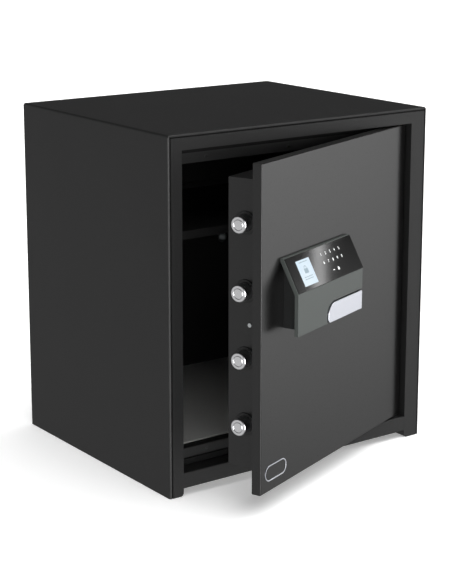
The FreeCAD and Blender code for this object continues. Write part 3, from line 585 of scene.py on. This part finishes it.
def brushed_aluminium():
    """Satin anodised aluminium: pale cool silver, brushed along the lever."""
    material, tree = blank("brushed_anodised_aluminium")
    place = node(tree, "ShaderNodeTexCoord").outputs["Object"]
    straight = node(tree, "ShaderNodeMapping", {
        "Vector": place, "Rotation": (0.0, 0.0, -REST_ANGLE), "Scale": (0.02, 1.0, 1.0)})
    # Brush lines are about 0.05 mm apart; they are drawn at 0.6 mm so that they show.
    line = node(tree, "ShaderNodeTexNoise", {
        "Vector": straight.outputs["Vector"], "Scale": per_metre(0.6), "Detail": 3.0})
    rough = node(tree, "ShaderNodeMapRange", {
        "Value": line.outputs["Fac"], "To Min": 0.34, "To Max": 0.5})
    colour = node(
        tree, "ShaderNodeValToRGB", {"Fac": line.outputs["Fac"]}, ends=("cfd1d9", "e0e2e8"))
    shader = node(tree, "ShaderNodeBsdfPrincipled", {
        "Metallic": 1.0, "Base Color": colour.outputs["Color"],
        "Roughness": rough.outputs["Result"]})
    return finished(material, shader)


def cell_wrap():
    """Shrink-wrapped dry cells: glossy dark grey film."""
    material, tree = blank("cell_shrink_wrap")
    place = node(tree, "ShaderNodeTexCoord").outputs["Object"]
    film = node(tree, "ShaderNodeTexNoise", {"Vector": place, "Scale": per_metre(10.0)})
    colour = node(
        tree, "ShaderNodeValToRGB", {"Fac": film.outputs["Fac"]}, ends=("3c3e42", "4c4f54"))
    shader = node(tree, "ShaderNodeBsdfPrincipled", {
        "Base Color": colour.outputs["Color"], "Roughness": 0.25})
    return finished(material, shader)


def cable_sheath():
    """Extruded black cable sheath: semi-matt and slightly wavy."""
    material, tree = blank("black_cable_sheath")
    place = node(tree, "ShaderNodeTexCoord").outputs["Object"]
    wave = node(tree, "ShaderNodeTexNoise", {"Vector": place, "Scale": per_metre(2.0)})
    colour = node(
        tree, "ShaderNodeValToRGB", {"Fac": wave.outputs["Fac"]}, ends=("0e0e0e", "1b1b1b"))
    shader = node(tree, "ShaderNodeBsdfPrincipled", {
        "Base Color": colour.outputs["Color"], "Roughness": 0.55})
    return finished(material, shader)


FINISHES = {
    "textured_steel": textured_powder_coat(),
    "smooth_steel": satin_powder_coat(),
    "liner_steel": liner_paint(),
    "insulation": mineral_board(),
    "zinc_steel": zinc_plate(),
    "hard_steel": hardened_steel(),
    "bolt_steel": turned_steel(),
    "bush_brass": turned_brass(),
    "black_screw": black_oxide(),
    "seal": seal_strip(),
    "mat": needle_felt(),
    "black_plastic": moulded_plastic(),
    "fascia_paint": graphite_lacquer(),
    "black_glass": printed_glass(),
    "lit_display": lit_screen(),
    "board": solder_mask(),
    "silver_face": brushed_aluminium(),
    "cell_jacket": cell_wrap(),
    "cable_jacket": cable_sheath(),
}
SLOT_OF_NODE = {s["node"]: s["material_slot"] for s in frame["record"]["subparts"]}
for name, packed in frame["nodes"].items():
    packed.data.materials.clear()
    packed.data.materials.append(FINISHES[SLOT_OF_NODE[name]])
bpy.ops.object.select_all(action="DESELECT")


# ------------------------------------------------------------------ eased copies

# How far each piece's edges are rounded, in millimetres.
EASED = {
    "door_skin": 0.6, "door_box": 1.0, "fascia": 0.7, "lever_handle": 0.6, "keypad_housing": 0.6,
    "touch_glass": 0.35, "bolt_collars": 0.6, "shelf": 0.5, "door_back_cover": 0.6,
    "battery_cover": 0.5, "outer_shell": 0.5, "base_panel": 0.4, "inner_frame": 0.3,
}
# The joint's two sides, in from the cabinet's edge, and how deep it and the dark strip at its
# bottom lie; the strip is painted shade for the gap.
JOINT_NEAR, JOINT_FAR = 3.4, 6.0
JOINT_DEPTH = (-1.0, 1.4)
SHADE_STRIP_DEPTH = (1.2, 1.5)


def seam(front, back, name):
    """Three bars just inside the cabinet's front edges: left, right and top."""
    near, far = JOINT_NEAR, JOINT_FAR
    right, top = 2 * HALF_WIDTH, CABINET_TALL
    return [
        slab(name + "_left", (near, front, 0.0), (far, back, top - near)),
        slab(name + "_right", (right - far, front, 0.0), (right - near, back, top - near)),
        slab(name + "_top", (near, front, top - far), (right - near, back, top - near)),
    ]


def joint_line():
    """A dark strip at the bottom of the joint between the wrapped sheet and the frame: painted
    shade for the gap.
    """
    # The black strip is painted shade: it darkens the joint's bottom where the gap's shade would
    # fall.
    shade_strip = together(seam(*SHADE_STRIP_DEPTH, "joint_shade_strip"), "joint_shade_strip")
    fit(shade_strip, "cabinet", FINISHES["seal"])


for node_name, radius in EASED.items():
    piece = dressed_copy(node_name, node_name + "_eased")
    if node_name == "outer_shell":
        for bar in seam(*JOINT_DEPTH, "joint"):
            cut(piece, bar)
    ease(piece, radius)
    slot_name = SLOT_OF_NODE[node_name]
    fit(piece, body_of_node(node_name), FINISHES[slot_name])
    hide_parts(node_name)

joint_line()


# ------------------------------------------------------------------ bolts and screws

def turned_bolts():
    """Four bolts with a chamfered tip and a fine ring turned in the end face."""
    radius, length, tip, axis_v = 13.0, 75.5, 30.5, 42.0
    heights = (140.5, 244.5, 348.5, 452.5)
    chamfer, ring_in, ring_width = 1.0, 3.4, 0.6
    bolt = round_bar("bolt", radius, length - chamfer, sides=64, fill="TRIFAN")
    bolt.location.z = -chamfer * MM
    settle(bolt)
    pick(bolt, looks_up)
    steps = (
        (chamfer, chamfer), (ring_in, 0.0), (ring_width, -ring_width), (ring_width, ring_width))
    for inward, up in steps:
        bpy.ops.mesh.inset(thickness=inward * MM, depth=up * MM)
    done()
    # The flat for the bar: it lies behind this station, on the inner part of the bolt.
    flat_v, flat_from, clear = 50.0, 76.0, 20.0
    corner_low = Vector((-clear, flat_v - axis_v, -length - 5.0)) * MM
    corner_high = Vector((clear, clear, tip - flat_from)) * MM
    bpy.ops.mesh.primitive_cube_add(size=1.0, location=(corner_low + corner_high) / 2)
    tool = newest("flat_tool")
    tool.scale = corner_high - corner_low
    settle(tool)
    cut(bolt, tool)
    ease(bolt, 0.15)
    turning = bolt.data.attributes.new("turning", "FLOAT", "POINT")
    turning.data.foreach_set("value", [
        radius * MM - math.hypot(vertex.co.x, vertex.co.y) - vertex.co.z
        for vertex in bolt.data.vertices])
    places = [Matrix.Translation(at(tip, axis_v, z)) @ FACING_LEFT for z in heights]
    bolts = repeated(bolt, "turned_bolts", places)
    swing(bolts)
    fit(bolts, "bolt_carriage", FINISHES["bolt_steel"])
    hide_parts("bolts")


def socket_screw(name, radius):
    """A countersunk head with a hexagon socket, its face at the origin looking up."""
    depth, shank, socket = radius * 0.44, radius * 0.56, radius * 0.46
    bpy.ops.mesh.primitive_cone_add(
        vertices=36, radius1=shank * MM, radius2=radius * MM, depth=depth * MM,
        location=(0, 0, -depth * MM / 2))
    head = newest(name)
    settle(head)
    hexagon = round_bar("hexagon", socket, depth * 1.5, sides=6)
    hexagon.location.z = depth * 0.75 * MM
    settle(hexagon)
    cut(head, hexagon)
    ease(head, 0.12)
    return head


def frame_screws():
    """Screws round the inner frame: down both sides, and along the top and bottom."""
    face_v, columns, rows = 30.0, (40.0, 476.0), (57.0, 531.0)
    stations = [(u, z) for u in columns for z in (506.0, 406.0, 307.0, 243.0, 179.0, 83.0)]
    stations += [(u, z) for u in (92.0, 252.0, 413.0) for z in rows]
    head = socket_screw("frame_screw", 3.5)
    places = [Matrix.Translation(at(u, face_v, z)) @ FACING_FRONT for u, z in stations]
    screws = repeated(head, "frame_socket_screws", places)
    fit(screws, "cabinet", FINISHES["black_screw"])
    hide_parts("inner_frame_screws")


def cover_screws():
    """Screws round the lock housing's back cover, and one for the battery cover."""
    face_v, left, right, low, high = 72.0, 58.0, 455.0, 79.0, 512.0
    middle_u, middle_z = (left + right) / 2, (low + high) / 2
    stations = [(u, z) for u in (left, right) for z in (low, middle_z, high)]
    stations += [(middle_u, low), (middle_u, high), (355.0, 459.0)]
    head = socket_screw("cover_screw", 4.1)
    places = [Matrix.Translation(at(u, face_v, z)) @ FACING_BACK for u, z in stations]
    screws = repeated(head, "cover_socket_screws", places)
    swing(screws)
    fit(screws, "door", FINISHES["black_screw"])
    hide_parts("cover_screws")


turned_bolts()
frame_screws()
cover_screws()


# ------------------------------------------------------------------ key field and display

# How thick the printed signs and the picture's parts are.
PRINT = 0.08


def on_slope(u, up, proud):
    """A place on the sloped glass: up from the fold, and proud of the glass's own face."""
    rise_v, rise_z = SLOPE_RISE[0] / SLOPE_LENGTH, SLOPE_RISE[1] / SLOPE_LENGTH
    out = proud + GLASS_PROUD
    spot = at(u, FOLD[0] + up * rise_v - out * rise_z, FOLD[1] + up * rise_z + out * rise_v)
    turned = Matrix(((1, 0, 0, 0), (0, rise_v, -rise_z, 0), (0, rise_z, rise_v, 0), (0, 0, 0, 1)))
    return Matrix.Translation(spot) @ turned


def chip(name, width, tall, thick):
    """A thin rounded plate lying on the origin, for something printed or let into the glass."""
    bpy.ops.mesh.primitive_cube_add(size=1.0, location=(0, 0, thick * MM / 2))
    piece = newest(name)
    piece.scale = (width * MM, tall * MM, thick * MM)
    settle(piece)
    ease(piece, min(width, tall, thick * 2) * 0.25)
    return piece


def shackle(name, reach, wire):
    """A flat ring, for the bow of a small padlock sign."""
    bpy.ops.mesh.primitive_torus_add(
        major_radius=reach * MM, minor_radius=wire * MM, major_segments=40, minor_segments=8)
    piece = newest(name)
    piece.scale.z = 0.2
    settle(piece)
    return piece


def shifted(piece, place):
    """Move a piece made at the origin to its place."""
    piece.matrix_world = place @ piece.matrix_world
    settle(piece)
    return piece


def figure(text, u, up):
    """One raised digit of the key field."""
    tall, thick = 6.6, 0.04
    bpy.ops.object.text_add()
    digit = bpy.context.object
    digit.data.body = text
    digit.data.size = tall * MM
    digit.data.extrude = thick * MM
    digit.data.align_x = "CENTER"
    digit.data.align_y = "CENTER"
    only(digit)
    bpy.ops.object.convert(target="MESH")
    digit = newest("digit_" + text)
    return shifted(digit, on_slope(u, up, thick))


def key_marks():
    """Two rows of digits and, below them, a clear sign and a lock sign."""
    first_u, pitch, upper, lower = 180.5, 13.8, 44.0, 30.6
    clear_u, lock_u, signs = 199.0, 213.5, 15.2
    marks = []
    for row, up in (("12345", upper), ("67890", lower)):
        marks += [figure(text, first_u + pitch * step, up) for step, text in enumerate(row)]
    marks.append(shifted(chip("clear_sign", 4.6, 1.0, PRINT), on_slope(clear_u, signs, 0)))
    marks.append(shifted(chip("lock_sign", 4.4, 3.2, PRINT), on_slope(lock_u, signs - 0.8, 0)))
    marks.append(shifted(shackle("lock_bow", 1.5, 0.35), on_slope(lock_u, signs + 1.0, 0.02)))
    marks = together(marks, "key_marks")
    swing(marks)
    fit(marks, "door", key_print())


def display():
    """The lit window, its faint picture of a padlock, and lines of state below it."""
    middle_u, middle_up, width, tall, thick = 125.0, 27.5, 39.0, 40.5, 0.3
    window = shifted(chip("display_window", width, tall, thick), on_slope(middle_u, middle_up, 0))
    swing(window)
    fit(window, "door", FINISHES["lit_display"])
    face = thick + 0.01
    picture = [
        shifted(chip("picture_body", 11.0, 7.5, PRINT), on_slope(middle_u, middle_up + 2, face)),
        shifted(shackle("picture_bow", 3.4, 0.6), on_slope(middle_u, middle_up + 6.5, face)),
    ]
    for up in (-7.0, -10.5, 16.5):
        line = chip("picture_line", 24.0, 1.2, PRINT)
        picture.append(shifted(line, on_slope(middle_u, middle_up + up, face)))
    picture = together(picture, "display_picture")
    swing(picture)
    fit(picture, "door", screen_ink())


def oval(name, radius, run, thick, rim, sunk):
    """A long round-ended plate with its face up, a raised rim round a sunk field."""
    plate = round_bar(name, radius, thick, sides=64)
    pick(plate, lambda spot: spot.x > 0.01 * MM, kind="VERT")
    bpy.ops.transform.translate(value=(run * MM, 0, 0))
    done()
    pick(plate, looks_up)
    bpy.ops.mesh.inset(thickness=rim * MM, depth=0.0)
    bpy.ops.mesh.inset(thickness=0.4 * MM, depth=-sunk * MM)
    done()
    ease(plate, 0.2)
    return plate


def badge():
    """A blank oval plate: a bright rim round a dark satin field."""
    u, z, thick, run, radius, rim = 53.0, 69.5, 1.0, 36.5, 12.5, 1.4
    plate = oval("badge_rim", radius, run, thick, rim, 0.45)
    shifted(plate, Matrix.Translation(at(u, -thick, z)) @ FACING_FRONT)
    swing(plate)
    fit(plate, "door", FINISHES["silver_face"])
    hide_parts("badge_plate")
    field = oval("badge_field", radius - rim - 0.5, run, 0.25, 0.8, 0.1)
    shifted(field, Matrix.Translation(at(u, -thick + 0.25, z)) @ FACING_FRONT)
    swing(field)
    fit(field, "door", FINISHES["smooth_steel"])


key_marks()
display()
badge()


# ------------------------------------------------------------------ inside and back

def felt_mat():
    """The loose felt on the floor, cut round the two anchor holes."""
    low, high = (47.0, 48.0, 65.0), (467.0, 388.0, 68.0)
    hole, hole_stations = 14.0, (141.0, 381.0)
    mat = slab("felt_mat", low, high)
    for u in hole_stations:
        punch = round_bar("punch", hole, 10.0, sides=64)
        shifted(punch, Matrix.Translation(at(u, HALF_DEPTH, high[2] + 5)))
        cut(mat, punch)
    ease(mat, 1.0)
    fit(mat, "cabinet", FINISHES["mat"])
    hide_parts("floor_mat")


def finger_ribs():
    """Ribs that the finger pushes on, on the battery cover."""
    count, first_z, pitch, tall = 5, 398.0, 7.0, 2.4
    ribs = []
    for step in range(count):
        z = first_z + pitch * step
        rib = slab("finger_rib", (334.0, 71.8, z), (376.0, 73.0, z + tall))
        ease(rib, 0.5)
        ribs.append(rib)
    ribs = together(ribs, "finger_ribs")
    swing(ribs)
    fit(ribs, "door", FINISHES["black_plastic"])


felt_mat()
finger_ribs()


# ------------------------------------------------------------------ camera, floor, light

# Soft boxes of the studio: turn from +X towards +Y and lift, then how far the full light and
# its edge reach from the middle, all in degrees, and the brightness.
SOFT_BOXES = (
    (-24.0, -2.0, 4.0, 26.0, 3.1),
    (-56.0, 0.0, 6.0, 24.0, 0.8),
    (-144.0, -13.0, 10.0, 30.0, 1.5),
    (169.0, -14.0, 14.0, 40.0, 0.5),
    (-21.0, 52.0, 8.0, 22.0, 4.0),
    (125.0, -13.0, 10.0, 45.0, 0.25),
    (68.0, 14.0, 8.0, 30.0, 0.06),
    (-112.0, -4.0, 10.0, 26.0, 12.0),
)
# The strip light stands off the key field's glass, towards its mirror direction.
STRIP_TILT = math.radians(-45.0)
STRIP_SIZE = (0.026, 0.9)
STRIP_REACH = 1.2
STRIP_TOWARDS = (0.958, -0.131, 0.256)
GLASS_MIDDLE = (163.0, -20.0, 372.0)


def studio_floor():
    """A wide pale floor just under the feet."""
    size, sunk = 80.0, 0.5
    bpy.ops.mesh.primitive_plane_add(size=size, location=(0, 0, -sunk * MM))
    floor = newest("studio_floor")
    material, tree = blank("pale_studio_floor")
    place = node(tree, "ShaderNodeTexCoord").outputs["Object"]
    tone = node(tree, "ShaderNodeTexNoise", {"Vector": place, "Scale": 0.6, "Detail": 1.0})
    colour = node(
        tree, "ShaderNodeValToRGB", {"Fac": tone.outputs["Fac"]}, ends=("f0f0f0", "f6f6f6"))
    shader = node(tree, "ShaderNodeBsdfPrincipled", {
        "Base Color": colour.outputs["Color"], "Roughness": 0.9, "Specular IOR Level": 0.0,
        "Emission Color": hex_colour("ffffff"), "Emission Strength": 0.3})
    finished(material, shader)
    floor.data.materials.append(material)
    floor.visible_glossy = False


def soft_boxes():
    """A dim room with the soft boxes in it, seen as plain white by the camera."""
    below, above, white = 0.26, 0.05, 0.97
    world = bpy.data.worlds.new("studio")
    bpy.context.scene.world = world
    world.use_nodes = True
    tree = world.node_tree
    tree.nodes.clear()
    facing = node(tree, "ShaderNodeTexCoord").outputs["Generated"]
    height = node(tree, "ShaderNodeSeparateXYZ", {"Vector": facing}).outputs["Z"]
    total = node(tree, "ShaderNodeMapRange", {
        "Value": height, "From Min": -0.2, "From Max": 0.06, "To Min": below, "To Max": above},
        interpolation_type="SMOOTHSTEP").outputs["Result"]
    for turn, lift, core, rim, strength in SOFT_BOXES:
        turn, lift = math.radians(turn), math.radians(lift)
        axis = (math.cos(turn) * math.cos(lift), math.sin(turn) * math.cos(lift), math.sin(lift))
        near = node(tree, "ShaderNodeVectorMath", {0: facing, 1: axis}, operation="DOT_PRODUCT")
        lit = node(tree, "ShaderNodeMapRange", {
            "Value": near.outputs["Value"], "From Min": math.cos(math.radians(rim)),
            "From Max": math.cos(math.radians(core)), "To Max": strength},
            interpolation_type="SMOOTHSTEP")
        total = node(tree, "ShaderNodeMath", {0: total, 1: lit.outputs["Result"]}).outputs[0]
    boxes = node(tree, "ShaderNodeBackground", {"Strength": total})
    pale = node(tree, "ShaderNodeBackground", {
        "Color": hex_colour("ffffff"), "Strength": white})
    ray = node(tree, "ShaderNodeLightPath")
    choice = node(tree, "ShaderNodeMixShader", {
        "Fac": ray.outputs["Is Camera Ray"], 1: boxes.outputs[0], 2: pale.outputs[0]})
    node(tree, "ShaderNodeOutputWorld", {"Surface": choice.outputs[0]})


def lamps():
    """A broad overhead bank, and the strip that the key field's glass mirrors."""
    lamp = bpy.data.lights.new("overhead_bank", "SUN")
    lamp.energy = 3.7
    lamp.angle = math.radians(80.0)
    bank = bpy.data.objects.new("overhead_bank", lamp)
    bpy.context.scene.collection.objects.link(bank)
    bank.rotation_euler = (math.radians(14.0), math.radians(10.0), 0.0)
    bank.visible_glossy = False

    strip = bpy.data.lights.new("strip_light", "AREA")
    strip.shape = "RECTANGLE"
    strip.size, strip.size_y = STRIP_SIZE
    strip.energy = 0.4
    holder = bpy.data.objects.new("strip_light", strip)
    bpy.context.scene.collection.objects.link(holder)
    glass = SWUNG @ at(*GLASS_MIDDLE)
    reach = Vector(STRIP_TOWARDS).normalized()
    holder.location = glass + reach * STRIP_REACH
    holder.rotation_mode = "QUATERNION"
    tilt = Quaternion((0, 0, 1), STRIP_TILT)
    holder.rotation_quaternion = reach.to_track_quat("Z", "Y") @ tilt


def camera():
    """A long lens, shifted down, a little above the cabinet and to its left."""
    lens = bpy.data.cameras.new("camera")
    lens.sensor_width = 36.0
    lens.lens = 98.7
    lens.shift_y = -0.1027
    lens.clip_start = 0.1
    lens.clip_end = 100.0
    holder = bpy.data.objects.new("camera", lens)
    bpy.context.scene.collection.objects.link(holder)
    holder.location = (-1.568, -2.1772, 0.949)
    dip, turn = math.radians(12.481), math.radians(-35.857)
    holder.rotation_euler = (math.radians(90.0) - dip, 0.0, turn)
    bpy.context.scene.camera = holder


studio_floor()
soft_boxes()
lamps()
camera()
bpy.context.scene.view_settings.view_transform = "Standard"
bpy.context.view_layer.update()
